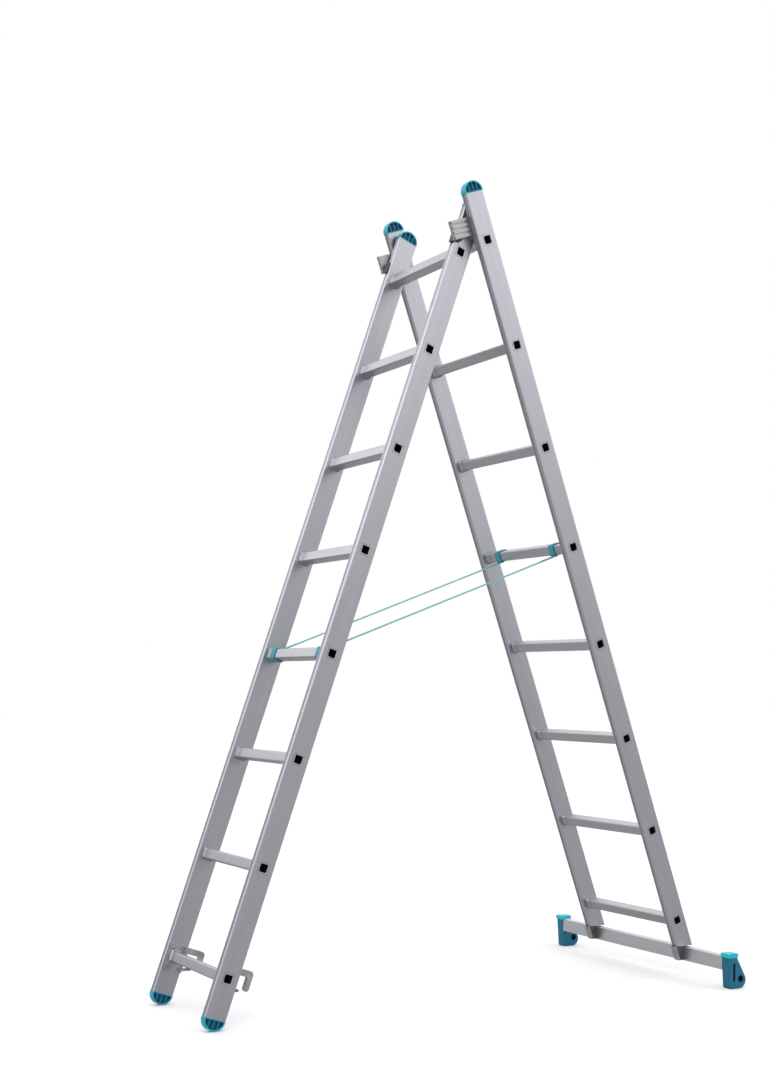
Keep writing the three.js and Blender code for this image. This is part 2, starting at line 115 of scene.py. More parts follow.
class Nodes:
    """A material's node tree, with short calls to add the nodes it is made of."""

    def __init__(self, name):
        self.material = bpy.data.materials.new(name)
        self.material.use_nodes = True
        self.tree = self.material.node_tree
        self.shader = self.tree.nodes["Principled BSDF"]

    def add(self, kind, **values):
        node = self.tree.nodes.new(kind)
        for key, value in values.items():
            if hasattr(node, key):
                setattr(node, key, value)
            else:
                node.inputs[key.replace("_", " ")].default_value = value
        return node

    def link(self, source, target):
        self.tree.links.new(source, target)

    def coordinates(self, scale=(1.0, 1.0, 1.0)):
        """Position in the piece's own section, in metres, stretched by scale."""
        place = self.add("ShaderNodeAttribute", attribute_name="place")
        mapping = self.add("ShaderNodeMapping", Scale=scale)
        self.link(place.outputs["Vector"], mapping.inputs["Vector"])
        return mapping.outputs["Vector"]

    def noise(self, vector, scale=1.0, detail=3.0, roughness=0.5):
        node = self.add("ShaderNodeTexNoise", Scale=scale, Detail=detail, Roughness=roughness)
        self.link(vector, node.inputs["Vector"])
        return node.outputs["Fac"]

    def ramp(self, source, low, high, start=0.3, end=0.7):
        """Maps a value that runs from start to end to the range from low to high."""
        node = self.add("ShaderNodeMapRange", From_Min=start, From_Max=end, To_Min=low, To_Max=high)
        self.link(source, node.inputs["Value"])
        return node.outputs["Result"]

    def mix(self, factor, first, second):
        """Blends two colours, each a tuple or another node's output."""
        node = self.add("ShaderNodeMix", data_type="RGBA")
        self.link(factor, node.inputs["Factor"])
        for value, socket in ((first, node.inputs[6]), (second, node.inputs[7])):
            if isinstance(value, tuple):
                socket.default_value = (*value, 1)
            else:
                self.link(value, socket)
        return node.outputs[2]

    def math(self, operation, first, second):
        node = self.add("ShaderNodeMath", operation=operation)
        for value, socket in ((first, node.inputs[0]), (second, node.inputs[1])):
            if isinstance(value, (int, float)):
                socket.default_value = value
            else:
                self.link(value, socket)
        return node.outputs[0]

    def bump(self, height, distance, strength=1.0, normal=None):
        node = self.add("ShaderNodeBump", Strength=strength, Distance=distance)
        self.link(height, node.inputs["Height"])
        if normal is not None:
            self.link(normal, node.inputs["Normal"])
        return node.outputs["Normal"]

    def set(self, **sockets):
        """Sets or links the shader's own sockets."""
        for name, value in sockets.items():
            socket = self.shader.inputs[name.replace("_", " ")]
            if isinstance(value, bpy.types.NodeSocket):
                self.link(value, socket)
            else:
                socket.default_value = value


def tinted(tone, factor, lift=0.0):
    return tuple(min(1.0, c * factor + lift) for c in tone)


def extruded_metal(name, tone, along, rough, contrast=1.0):
    """Extruded aluminium: die lines along one axis, faint cloudy staining, handling marks."""
    n = Nodes(name)
    fine = [900.0, 900.0, 900.0]
    broad = [90.0, 90.0, 90.0]
    fine[along] = 6.0
    broad[along] = 1.2
    lines = n.noise(n.coordinates(fine), detail=4.0, roughness=0.6)
    bands = n.noise(n.coordinates(broad), detail=2.0)
    clouds = n.noise(n.coordinates(), scale=9.0, detail=5.0, roughness=0.55)
    marks = n.noise(n.coordinates(), scale=160.0, detail=6.0, roughness=0.7)
    dark = tinted(tone, 1 - 0.055 * contrast)
    light = tinted(tone, 1 + 0.035 * contrast)
    cool = tuple(c * share for c, share in zip(tone, (0.94, 0.955, 0.99)))
    streaked = n.mix(n.ramp(bands, 0.0, 1.0, start=0.25, end=0.75), dark, light)
    stained = n.mix(n.ramp(clouds, 0.0, 0.55, start=0.35, end=0.75), streaked, cool)
    scuffed = n.mix(n.ramp(marks, 0.0, 0.35, start=0.60, end=0.75), stained, dark)
    roughness = n.math("ADD", n.ramp(lines, rough - 0.05, rough + 0.06),
                       n.ramp(marks, 0.0, 0.10, start=0.58, end=0.72))
    normal = n.bump(lines, 0.06 * MM, strength=0.5)
    normal = n.bump(clouds, 0.8 * MM, strength=0.12, normal=normal)
    n.set(Base_Color=scuffed, Metallic=1.0, Roughness=roughness, Normal=normal)
    return n.material


def cast_metal(name, tone, rough, grain=420.0, metallic=1.0):
    """Cast or pressed metal: fine grain, soft mottling and small scratches."""
    n = Nodes(name)
    flat = n.coordinates()
    grains = n.noise(flat, scale=grain, roughness=0.6)
    mottle = n.noise(flat, scale=55.0, detail=4.0, roughness=0.6)
    scratches = n.noise(n.coordinates((30.0, 700.0, 260.0)), detail=2.0)
    body = n.mix(n.ramp(mottle, 0.0, 1.0), tinted(tone, 0.72), tinted(tone, 1.12))
    worn = n.mix(n.ramp(scratches, 0.0, 0.5, start=0.62, end=0.75), body, tinted(tone, 1.12))
    n.set(Base_Color=worn, Metallic=metallic, Roughness=n.ramp(grains, rough - 0.08, rough + 0.1),
          Normal=n.bump(grains, 0.15 * MM, strength=0.5))
    return n.material


def moulded_plastic(name, tone, rough, scuff_tone=None, grain=900.0):
    """Injection-moulded plastic: spark-eroded grain, slight colour drift, scuffs that go paler."""
    n = Nodes(name)
    flat = n.coordinates()
    grains = n.noise(flat, scale=grain, detail=2.0, roughness=0.6)
    drift = n.noise(flat, scale=28.0)
    scuffs = n.noise(n.coordinates((40.0, 260.0, 60.0)), detail=6.0, roughness=0.7)
    body = n.mix(n.ramp(drift, 0.0, 1.0), tinted(tone, 0.80), tone)
    pale = scuff_tone or tinted(tone, 1.3, 0.006)
    worn = n.mix(n.ramp(scuffs, 0.0, 0.7, start=0.60, end=0.78), body, pale)
    n.set(Base_Color=worn, Roughness=n.ramp(grains, rough - 0.06, rough + 0.08),
          Normal=n.bump(grains, 0.12 * MM, strength=0.55))
    return n.material


WARP_PITCH = 1.6 * MM
WEFT_PITCH = 2.1 * MM
HERRINGBONE_WIDTH = 7.5 * MM


def woven_webbing(name, tone, along):
    """Flat woven polyester: a herringbone of weft bars crossed by warp ridges, with loose fuzz and
    painted shade in the weave's low places.
    """
    n = Nodes(name)
    place = n.coordinates()
    split = n.add("ShaderNodeSeparateXYZ")
    n.link(place, split.inputs["Vector"])
    run = split.outputs[along]
    across = split.outputs["Y"]

    def ridges(distance, pitch):
        return n.math("SINE", n.math("MULTIPLY", distance, 2 * math.pi / pitch), 0.0)

    warp = ridges(across, WARP_PITCH)
    zigzag = n.math("PINGPONG", across, HERRINGBONE_WIDTH)
    weft = ridges(n.math("ADD", run, zigzag), WEFT_PITCH)
    height = n.math("ADD", n.math("MULTIPLY", warp, 0.35), n.math("MULTIPLY", weft, 0.65))
    fuzz = n.noise(place, scale=1400.0, roughness=0.7)
    fade = n.noise(place, scale=40.0)
    # low places in the weave are painted darker: painted shade between the threads
    shaded_weave = n.mix(n.ramp(height, 0.0, 1.0, start=-0.6), tinted(tone, 0.62), tone)
    colour = n.mix(n.ramp(fade, 0.0, 0.6, start=0.4, end=0.75), shaded_weave, tinted(tone, 1.18, 0.02))
    n.set(Base_Color=colour, Roughness=n.ramp(fuzz, 0.78, 0.95),
          Normal=n.bump(fuzz, 0.2 * MM, strength=0.4,
                        normal=n.bump(height, 0.3 * MM, strength=0.8)),
          Sheen_Weight=0.25, Sheen_Roughness=0.5)
    return n.material


ALONG_X, ALONG_Y, ALONG_Z = range(3)

STILE = extruded_metal("stile_aluminium", (0.50, 0.50, 0.535), ALONG_Z, rough=0.34)
RUNG = extruded_metal("rung_aluminium", (0.48, 0.48, 0.50), ALONG_Y, rough=0.33)
# near-black inside the rungs past their rolled lip: painted shade in the bores
RUNG_BORE_SHADE = cast_metal("rung_bore", (0.012, 0.012, 0.013), rough=0.7, metallic=0.2)
# dark inside faces of the stiles and the bar: painted shade inside the tubes
TUBE_INSIDE_SHADE = cast_metal("tube_inside_painted_shade", (0.10, 0.10, 0.11), rough=0.6)
BAR = extruded_metal("bar_aluminium", (0.66, 0.66, 0.68), ALONG_Y, rough=0.38)
BRACKET = extruded_metal("bracket_extrusion", (0.44, 0.44, 0.445), ALONG_X, rough=0.33,
                         contrast=1.6)
# connector: dark tone partly its metal and partly painted shade; the pale front is painted light on
# the same metal
CONNECTOR_DARK_AND_SHADE = cast_metal("connector_dark_casting_and_painted_shade", (0.17, 0.165, 0.17), rough=0.45)
CONNECTOR_LIT_FRONT = cast_metal("connector_front_painted_lit", (0.52, 0.52, 0.53), rough=0.4)
STEEL = cast_metal("zinc_plated_steel", (0.44, 0.44, 0.45), rough=0.33, grain=600.0)
HOOK = cast_metal("hook_die_casting", (0.47, 0.47, 0.48), rough=0.38, grain=380.0)
CAP = moulded_plastic("cap_plastic", (0.008, 0.42, 0.57), rough=0.38)
# the cap's blue painted darker in its pockets and between its ribs: painted shade in the recesses
CAP_POCKET_SHADE = moulded_plastic("cap_pocket_painted_shade", (0.003, 0.075, 0.145), rough=0.55)
CAP_RIB_SHADE = moulded_plastic("cap_rib_painted_shade", (0.004, 0.21, 0.35), rough=0.45)
# one blue plastic in three tones: painted light on the foot's top lip, painted shade on the leg
# below it, deeper painted shade in the groove and heel hollows
FOOT_LIT_LIP = moulded_plastic("bar_foot_lip_painted_lit", (0.010, 0.55, 0.66), rough=0.36)
FOOT_SHADED_LEG = moulded_plastic("bar_foot_leg_painted_shade", (0.001, 0.155, 0.265), rough=0.46)
FOOT_RECESS_SHADE = moulded_plastic("bar_foot_recess_painted_shade", (0.001, 0.030, 0.065), rough=0.6)
TREAD = moulded_plastic("foot_tread_rubber", (0.022, 0.024, 0.026), rough=0.8,
                        scuff_tone=(0.06, 0.06, 0.06), grain=500.0)
NYLON = moulded_plastic("guide_nylon", (0.075, 0.08, 0.09), rough=0.5,
                        scuff_tone=(0.16, 0.165, 0.17))
BAND = woven_webbing("strap_webbing", (0.07, 0.46, 0.44), "X")
LOOP = woven_webbing("loop_webbing", (0.025, 0.33, 0.48), "Z")
THREAD = moulded_plastic("stitching_thread", (0.10, 0.50, 0.58), rough=0.75, grain=1500.0)


# ---------------------------------------------------------------- mesh helpers


def new_object(name, bm, materials, place):
    """Turns a finished bmesh into an object, with its normals outward."""
    bmesh.ops.recalc_face_normals(bm, faces=bm.faces)
    mesh = bpy.data.meshes.new(name)
    bm.to_mesh(mesh)
    bm.free()
    for material in materials:
        mesh.materials.append(material)
    obj = bpy.data.objects.new(name, mesh)
    bpy.context.scene.collection.objects.link(obj)
    obj.matrix_world = place
    return obj


def smooth(obj, angle):
    for polygon in obj.data.polygons:
        polygon.use_smooth = True
    obj.data.set_sharp_from_angle(angle=math.radians(angle))


def apply_modifiers(obj):
    """Bakes an object's modifiers into its own mesh."""
    graph = bpy.context.evaluated_depsgraph_get()
    final = bpy.data.meshes.new_from_object(obj.evaluated_get(graph))
    obj.modifiers.clear()
    obj.data = final


def extruded(obj, angle):
    """Smooth corners with flat-shaded faces between them."""
    smooth(obj, angle)
    weighted = obj.modifiers.new("shading", "WEIGHTED_NORMAL")
    weighted.keep_sharp = True
    apply_modifiers(obj)


def bevelled(obj, width, segments=2, angle=28):
    """Rounds an object's sharp edges and keeps its flat faces flat-shaded."""
    bevel = obj.modifiers.new("edges", "BEVEL")
    bevel.width = width
    bevel.segments = segments
    bevel.limit_method = "ANGLE"
    bevel.angle_limit = math.radians(angle)
    bevel.use_clamp_overlap = True
    bevel.miter_outer = "MITER_ARC"
    apply_modifiers(obj)
    extruded(obj, 32)


def subtract(obj, *tools):
    for tool in tools:
        boolean = obj.modifiers.new("cut", "BOOLEAN")
        boolean.operation = "DIFFERENCE"
        boolean.solver = "EXACT"
        boolean.object = tool
        boolean.material_mode = "TRANSFER"
    bpy.context.view_layer.update()
    apply_modifiers(obj)
    for tool in tools:
        bpy.data.objects.remove(tool)


def rounded_rect(centre_a, centre_b, size_a, size_b, radius, steps=5):
    """Points of a rounded rectangle, anticlockwise."""
    points = []
    corners = ((1, -1, -90), (1, 1, 0), (-1, 1, 90), (-1, -1, 180))
    for sa, sb, start in corners:
        for i in range(steps + 1):
            angle = math.radians(start + 90 * i / steps)
            a = centre_a + sa * (size_a / 2 - radius) + radius * math.cos(angle)
            b = centre_b + sb * (size_b / 2 - radius) + radius * math.sin(angle)
            points.append((a, b))
    return points


LEVEL_WITHIN = 1e-7
SHORTEST_SIDE = 5 * MM


def grooved(outline, axis, places, mouth, floor, depth):
    """Cuts grooves into the two straight sides of a centred outline that face along an axis.

    places are the grooves' positions along a side, mouth and floor are half widths.
    """
    run = 1 - axis
    made = []
    for point, following in zip(outline, outline[1:] + outline[:1]):
        made.append(point)
        length = following[run] - point[run]
        if abs(following[axis] - point[axis]) > LEVEL_WITHIN or abs(length) < SHORTEST_SIDE:
            continue
        way = math.copysign(1, length)
        inward = -math.copysign(depth, point[axis])
        for place in places:
            for offset, sunk in ((-mouth, 0), (-floor, inward), (floor, inward), (mouth, 0)):
                corner = [0, 0]
                corner[axis] = point[axis] + sunk
                corner[run] = way * place + way * offset
                made.append(tuple(corner))
    return made


def ring(bm, points):
    return [bm.verts.new(p) for p in points]


def ring_at(bm, outline, y):
    """A ring of vertices from an outline in X and Z, at one place along Y."""
    return ring(bm, [(a, y, b) for a, b in outline])


def bridge(bm, first, second, material=0):
    for i in range(len(first)):
        j = (i + 1) % len(first)
        face = bm.faces.new((first[i], first[j], second[j], second[i]))
        face.material_index = material


def loft(bm, rings, closed=True):
    """Joins rings in order, and closes both ends with a face."""
    for first, second in zip(rings, rings[1:]):
        bridge(bm, first, second)
    if closed:
        bm.faces.new(rings[0])
        bm.faces.new(rings[-1])


def fill_between(bm, outer, hollow):
    """Fills the flat end of a tube, between its outer and inner ring."""
    edges = []
    for loop in (outer, hollow):
        for first, second in zip(loop, loop[1:] + loop[:1]):
            edges.append(bm.edges.get((first, second)))
    bmesh.ops.triangle_fill(bm, edges=edges, use_beauty=True)


def prism(name, outline, low, high, material):
    """A closed solid in world axes: an outline in X and Z swept along Y."""
    bm = bmesh.new()
    loft(bm, [ring_at(bm, outline, y) for y in (low, high)])
    return new_object(name, bm, [material], WORLD)


def copied(node, name, materials, place):
    """A clean copy of a CAD node's mesh in its section's frame: welded, with flat faces merged."""
    bm = bmesh.new()
    bm.from_mesh(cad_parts[node].data)
    bmesh.ops.transform(bm, matrix=place.inverted(), verts=bm.verts)
    bmesh.ops.remove_doubles(bm, verts=bm.verts, dist=0.02 * MM)
    bmesh.ops.dissolve_limit(bm, angle_limit=math.radians(1.0), verts=bm.verts, edges=bm.edges)
    for face in bm.faces:
        face.material_index = 0
    return new_object(name, bm, materials, place)


def grounded(obj):
    """Keeps each point's place in its section for the materials, then bakes in the transform."""
    points = [value for v in obj.data.vertices for value in v.co]
    attribute = obj.data.attributes.new("place", "FLOAT_VECTOR", "POINT")
    attribute.data.foreach_set("vector", points)
    obj.data.transform(obj.matrix_world)
    obj.matrix_world = WORLD
    return obj


def settle(obj, body, slot, *nodes):
    """Puts a finished piece on its body, in place of its CAD nodes."""
    grounded(obj)
    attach(obj, body)
    if nodes:
        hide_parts(*nodes)


def paint(obj, choose):
    """Gives each face the material slot that choose(centre, normal) returns."""
    for polygon in obj.data.polygons:
        polygon.material_index = choose(polygon.center, polygon.normal)


# ---------------------------------------------------------------- stiles

STILE_RADIUS = 3.2 * MM
STILE_WALL = 2.8 * MM
STILE_INNER_RADIUS = 1.2 * MM
STILE_END_EDGE = 0.5 * MM
CHANNEL_HALF = 4.6 * MM
CHANNEL_SLOPE = 0.3 * MM
CHANNEL_DEPTH = 2.0 * MM
RUNG_HOLE = 28.6 * MM
RUNG_HOLE_RADIUS = 4.3 * MM
CUTTER_REACH = 15 * MM
FOOT_CUT_LENGTH = 30 * MM


def shrunk(outline, middle_a, middle_b, amount):
    """An outline drawn in towards its middle along both axes."""
    made = []
    for a, b in outline:
        da = math.copysign(min(amount, abs(a - middle_a)), a - middle_a)
        db = math.copysign(min(amount, abs(b - middle_b)), b - middle_b)
        made.append((a - da, b - db))
    return made


def rung_holes(low, high, place, rung):
    """Square rods that cut a stile's holes for its rungs."""
    bm = bmesh.new()
    for i in range(1, RUNGS + 1):
        at = place.inverted() @ centre(f"{rung}_{i}")
        square = rounded_rect(at.x, at.z, RUNG_HOLE, RUNG_HOLE, RUNG_HOLE_RADIUS, 4)
        ends = (low.y - CUTTER_REACH, high.y + CUTTER_REACH)
        loft(bm, [ring_at(bm, square, y) for y in ends])
    return new_object("cutter", bm, [STILE], place)


def make_stile(node, body, place, rung, level=None):
    """A tube with a shallow channel down each narrow face, cut off level where level is given."""
    low, high = local_box(node, place)
    middle_x = (low.x + high.x) / 2
    middle_y = (low.y + high.y) / 2
    depth = high.x - low.x
    thick = high.y - low.y
    bottom = low.z - (FOOT_CUT_LENGTH if level is not None else 0)
    centred = grooved(rounded_rect(0, 0, depth, thick, STILE_RADIUS), 0, [0], CHANNEL_HALF,
                      CHANNEL_HALF - CHANNEL_SLOPE, CHANNEL_DEPTH)
    outline = [(a + middle_x, b + middle_y) for a, b in centred]
    inner = rounded_rect(middle_x, middle_y, depth - 2 * STILE_WALL, thick - 2 * STILE_WALL,
                         STILE_INNER_RADIUS, 2)
    bm = bmesh.new()
    levels = [(bottom, STILE_END_EDGE), (bottom + STILE_END_EDGE, 0),
              (high.z - STILE_END_EDGE, 0), (high.z, STILE_END_EDGE)]
    outers = [ring(bm, [(a, b, z) for a, b in shrunk(outline, middle_x, middle_y, off)])
              for z, off in levels]
    loft(bm, outers, closed=False)
    # the inside faces take the tubes' painted shade
    inners = [ring(bm, [(a, b, z) for a, b in inner]) for z in (bottom, high.z)]
    bridge(bm, *inners, 1)
    fill_between(bm, outers[0], inners[0])
    fill_between(bm, outers[-1], inners[-1])
    obj = new_object(f"{node}_profile", bm, [STILE, TUBE_INSIDE_SHADE], place)

    tools = [rung_holes(low, high, place, rung)]
    if level is not None:
        # wider than the ladder, from the floor line down
        slab = [(-1, level), (2, level), (2, level - 1), (-1, level - 1)]
        tools.append(prism("level", slab, -0.5, 0.5, STILE))
    subtract(obj, *tools)
    extruded(obj, 40)
    settle(obj, body, "stile_aluminium", node)


stile_foot = min(v.co.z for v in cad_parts["base_stile_near"].data.vertices)
for where, _ in SIDES:
    make_stile(f"base_stile_{where}", "base_section", BASE, "base_rung", stile_foot)
    make_stile(f"fly_stile_{where}", "fly_section", FLY, "fly_rung")


# ---------------------------------------------------------------- rungs

RUNG_SIZE = 28 * MM
TREAD_GROOVES = (-7.2, -2.4, 2.4, 7.2)  # mm from the middle of a 28 mm face
TREAD_MOUTH = 1.1 * MM
COLLAR_GAP = 0.3 * MM
HOOK_SEAT = 4.3 * MM  # from a hook's outer edge in to where the rung's collar sits
HOOK_FLARE = 0.45  # the collar beside a hook is this much shorter
BORE_RADIUS = 3.0 * MM


def rung_outline(size, radius, groove):
    """Rounded square with four shallow tread grooves along its top and bottom faces."""
    places = [step * MM * size / RUNG_SIZE for step in TREAD_GROOVES]
    return grooved(rounded_rect(0, 0, size, size, radius, 4), 1, places, TREAD_MOUTH,
                   TREAD_MOUTH * 0.4, groove)


def make_rung(node, body, place):
    """A tube with a swollen collar at each stile, its ends rolled in to a narrower mouth."""
    low, high = local_box(node, place)
    at = (low + high) / 2
    half = (high.y - low.y) / 2
    swell = high.x - low.x
    seat = local_box(node.split("_")[0] + "_stile_far", place)[0].y - COLLAR_GAP
    flare = 1
    if node == f"fly_rung_{RUNGS}":
        seat = local_box("hook_far", place)[1].y - HOOK_SEAT
        flare = HOOK_FLARE

    # distance from the rung's middle, outer size, corner radius, tread groove depth
    stations = [
        (half, RUNG_SIZE - 0.5 * MM, 3.6 * MM, 0),
        (half - 0.5 * MM, RUNG_SIZE, 4 * MM, 0),
        (seat + 0.02 * MM, RUNG_SIZE, 4 * MM, 0),
        (seat, swell - 1.4 * MM, 7 * MM, 0),
        (seat - 1.0 * MM, swell, 7.5 * MM, 0),
        (seat - 2.4 * MM, swell, 7.5 * MM, 0),
        (seat - (2.4 + 2.1 * flare) * MM, swell - 1.6 * MM, 7 * MM, 0),
        (seat - (2.4 + 5.6 * flare) * MM, swell - 4.0 * MM, 6 * MM, 0.15 * MM),
        (seat - (2.4 + 10.6 * flare) * MM, swell - 6.0 * MM, 5 * MM, 0.45 * MM),
        (seat - (2.4 + 17.6 * flare) * MM, RUNG_SIZE, 4 * MM, 0.6 * MM),
    ]
    stations += [(-y, *rest) for y, *rest in reversed(stations)]
    # distance in from the rung's end, width of the bore, material, where 1 is the near-black
    # painted shade deeper in the bore
    mouth = [(0, 21.8 * MM, 0), (0.6 * MM, 20.6 * MM, 0), (2.0 * MM, 20.4 * MM, 1),
             (3.4 * MM, 22.4 * MM, 1), (4.2 * MM, RUNG_SIZE - 3.2 * MM, 1)]
    bore = [(half - d, width, m) for d, width, m in mouth]
    bore += [(d - half, width, m) for d, width, m in reversed(mouth)]

    def station(y, width, radius, groove):
        outline = rung_outline(width, radius, groove)
        return ring_at(bm, [(at.x + a, at.z + b) for a, b in outline], y)

    bm = bmesh.new()
    rings = [station(*values) for values in stations]
    loft(bm, rings, closed=False)
    bores = [station(y, width, BORE_RADIUS, 0) for y, width, _ in bore]
    for first, second, (_, _, m), (_, _, n) in zip(bores, bores[1:], bore, bore[1:]):
        bridge(bm, first, second, max(m, n))
    bridge(bm, rings[0], bores[0])
    bridge(bm, rings[-1], bores[-1])
    obj = new_object(f"{node}_tube", bm, [RUNG, RUNG_BORE_SHADE], place)
    extruded(obj, 38)
    settle(obj, body, "rung_aluminium", node)


for i in range(1, RUNGS + 1):
    make_rung(f"base_rung_{i}", "base_section", BASE)
    make_rung(f"fly_rung_{i}", "fly_section", FLY)


# ---------------------------------------------------------------- end caps and fly feet

CAP_SHOULDER = 1.8 * MM  # from the half round's centre out to the cap's flat edge
CAP_RIM_SIDE = 3.4 * MM
CAP_RIM_CROWN = 5.2 * MM
CAP_RIM_BASE = 0.3 * MM
CAP_SKIN = 0.5 * MM
CAP_POCKET_DEPTH = 2 * MM


def make_cap(node, body, place, up):
    low, high = local_box(node, place)
    obj = copied(node, f"{node}_moulding", [CAP, CAP_POCKET_SHADE, CAP_RIB_SHADE], place)
    bevelled(obj, 0.6 * MM, 3)
    middle = (low.y + high.y) / 2
    thick = (high.y - low.y) / 2
    radius = (high.x - low.x) / 2
    tip = high.z if up > 0 else low.z
    base = tip - up * (radius - CAP_SHOULDER)

    def choose(c, n):
        """Painted shade: pocket floors are painted darkest, ribs and pocket walls a lighter shade
        between them and the rim.
        """
        rise = (c.z - base) * up
        sunk = thick - abs(c.y - middle)
        inside = (c.x / (radius - CAP_RIM_SIDE)) ** 2 + (rise / (radius - CAP_RIM_CROWN)) ** 2 < 1
        if not inside or rise < CAP_RIM_BASE or sunk < CAP_SKIN:
            return 0
        return 1 if sunk > CAP_POCKET_DEPTH and abs(n.y) > 0.7 else 2

    paint(obj, choose)
    settle(obj, body, "blue_plastic", node)


for where, _ in SIDES:
    make_cap(f"base_top_cap_{where}", "base_section", BASE, 1)
    make_cap(f"fly_top_cap_{where}", "fly_section", FLY, 1)
    make_cap(f"fly_foot_{where}", "fly_section", FLY, -1)


# ---------------------------------------------------------------- guide brackets, shoes, rivets


def make_rivet(node, body, place, side):
    """A rivet head: flat skirt, low dome and a small dimple where the mandrel broke."""
    low, high = local_box(node, place)
    at = (low + high) / 2
    foot = high.y if side > 0 else low.y
    radius = (high.x - low.x) / 2
    thick = high.y - low.y
    # shares of the head's radius and height
    rows = [(1.0, 0.0), (1.0, 0.18), (0.94, 0.42), (0.80, 0.68), (0.60, 0.88), (0.36, 0.98),
            (0.26, 1.0), (0.20, 0.86), (0.12, 0.78)]
    turns = [2 * math.pi * i / 28 for i in range(28)]
    bm = bmesh.new()
    loft(bm, [ring(bm, [(at.x + radius * r * math.cos(turn), foot - side * thick * h,
                         at.z + radius * r * math.sin(turn)) for turn in turns])
              for r, h in rows])
    obj = new_object(f"{node}_head", bm, [STEEL], place)
    smooth(obj, 50)
    settle(obj, body, "steel", node)


for where, side in SIDES:
    bracket = copied(f"guide_bracket_{where}", f"guide_bracket_{where}_extrusion", [BRACKET], BASE)
    bevelled(bracket, 0.9 * MM, 3)
    settle(bracket, "base_section", "bracket_extrusion", f"guide_bracket_{where}")
    shoe = copied(f"guide_shoe_{where}", f"guide_shoe_{where}_moulding", [NYLON], FLY)
    bevelled(shoe, 0.7 * MM)
    settle(shoe, "guide_shoes", "grey_nylon", f"guide_shoe_{where}")
    for spot in ("front", "back"):
        make_rivet(f"bracket_rivet_{where}_{spot}", "base_section", BASE, side)
    for spot in ("upper", "lower"):
        make_rivet(f"hook_rivet_{where}_{spot}", "fly_section", FLY, side)


# ---------------------------------------------------------------- stabiliser bar, connectors, feet

BAR_RADIUS = 2.4 * MM
BAR_WALL = 2 * MM
BAR_INNER_RADIUS = 1 * MM
BAR_GROOVES = (-4 * MM, 0, 4 * MM)
BAR_GROOVE_MOUTH = 0.8 * MM
BAR_GROOVE_FLOOR = 0.3 * MM
BAR_GROOVE_DEPTH = 0.6 * MM
FOOT_GAP = 0.3 * MM  # between the bar's end and the foot's inner face
HEEL_FROM_BACK = 18.9 * MM
HEEL_HEIGHT = 26 * MM
HEEL_RADIUS = 9.5 * MM
HEEL_HOLE_START = 5 * MM
HEEL_HOLE_DEPTH = 12 * MM
FOOT_SKIN = 0.6 * MM
LIP_HEIGHT = 13 * MM
SOLE_HEIGHT = 1.6 * MM
GROOVE_FROM_FRONT = 22.5 * MM
GROOVE_HALF = 4.8 * MM
GROOVE_BOTTOM = 18 * MM
GROOVE_TOP = 74 * MM
# how far back from the front the connector's faces are painted pale as lit
CONNECTOR_LIT_DEPTH = 5.2 * MM


def make_bar():
    low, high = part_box("stabiliser_bar")
    middle = (low + high) / 2
    width = high.x - low.x
    height = high.z - low.z
    centred = grooved(rounded_rect(0, 0, width, height, BAR_RADIUS), 1, BAR_GROOVES,
                      BAR_GROOVE_MOUTH, BAR_GROOVE_FLOOR, BAR_GROOVE_DEPTH)
    outline = [(middle.x + a, middle.z + b) for a, b in centred]
    inner = rounded_rect(middle.x, middle.z, width - 2 * BAR_WALL, height - 2 * BAR_WALL,
                         BAR_INNER_RADIUS, 2)
    bm = bmesh.new()
    outers = [ring_at(bm, outline, y) for y in (low.y, high.y)]
    inners = [ring_at(bm, inner, y) for y in (low.y, high.y)]
    bridge(bm, *outers)
    bridge(bm, *inners, 1)
    for outer, hollow in zip(outers, inners):
        fill_between(bm, outer, hollow)
    obj = new_object("stabiliser_bar_profile", bm, [BAR, TUBE_INSIDE_SHADE], WORLD)
    extruded(obj, 38)
    settle(obj, "base_section", "bar_aluminium", "stabiliser_bar")


def make_foot(node, side):
    """A foot with a front groove and a round hollow in both faces of its heel, its one blue plastic
    painted lighter on the lip as lit and darker on the leg and in the recesses as shade.
    """
    low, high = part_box(node)
    obj = copied(node, f"{node}_moulding", [FOOT_SHADED_LEG, FOOT_LIT_LIP, FOOT_RECESS_SHADE, TREAD], WORLD)
    outer = high.y if side > 0 else low.y
    inner = side * (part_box("stabiliser_bar")[1].y + FOOT_GAP)
    heel = Vector((high.x - HEEL_FROM_BACK, HEEL_HEIGHT))
    turns = [2 * math.pi * i / 32 for i in range(32)]
    hole = [(heel.x + HEEL_RADIUS * math.cos(t), heel.y + HEEL_RADIUS * math.sin(t)) for t in turns]
    subtract(obj, prism("hollow", hole, inner - side * HEEL_HOLE_START,
                        inner + side * HEEL_HOLE_DEPTH, FOOT_SHADED_LEG))
    bevelled(obj, 1.2 * MM, 3, 24)
    groove = low.x + GROOVE_FROM_FRONT

    def choose(c, n):
        """Lip on top painted lighter as lit, rubber sole below, leg painted darker as shade,
        painted shade inside the groove and the heel's hollows.
        """
        if c.z > high.z - LIP_HEIGHT:
            return 1
        if c.z < SOLE_HEIGHT:
            return 3
        in_heel = (Vector((c.x, c.z)) - heel).length < HEEL_RADIUS + 0.3 * MM
        in_groove = abs(c.x - groove) < GROOVE_HALF and GROOVE_BOTTOM < c.z < GROOVE_TOP
        sunk = min((outer - c.y) * side, (c.y - inner) * side)
        return 2 if sunk > FOOT_SKIN and (in_heel or in_groove) else 0

    paint(obj, choose)
    settle(obj, "base_section", "blue_plastic", node)


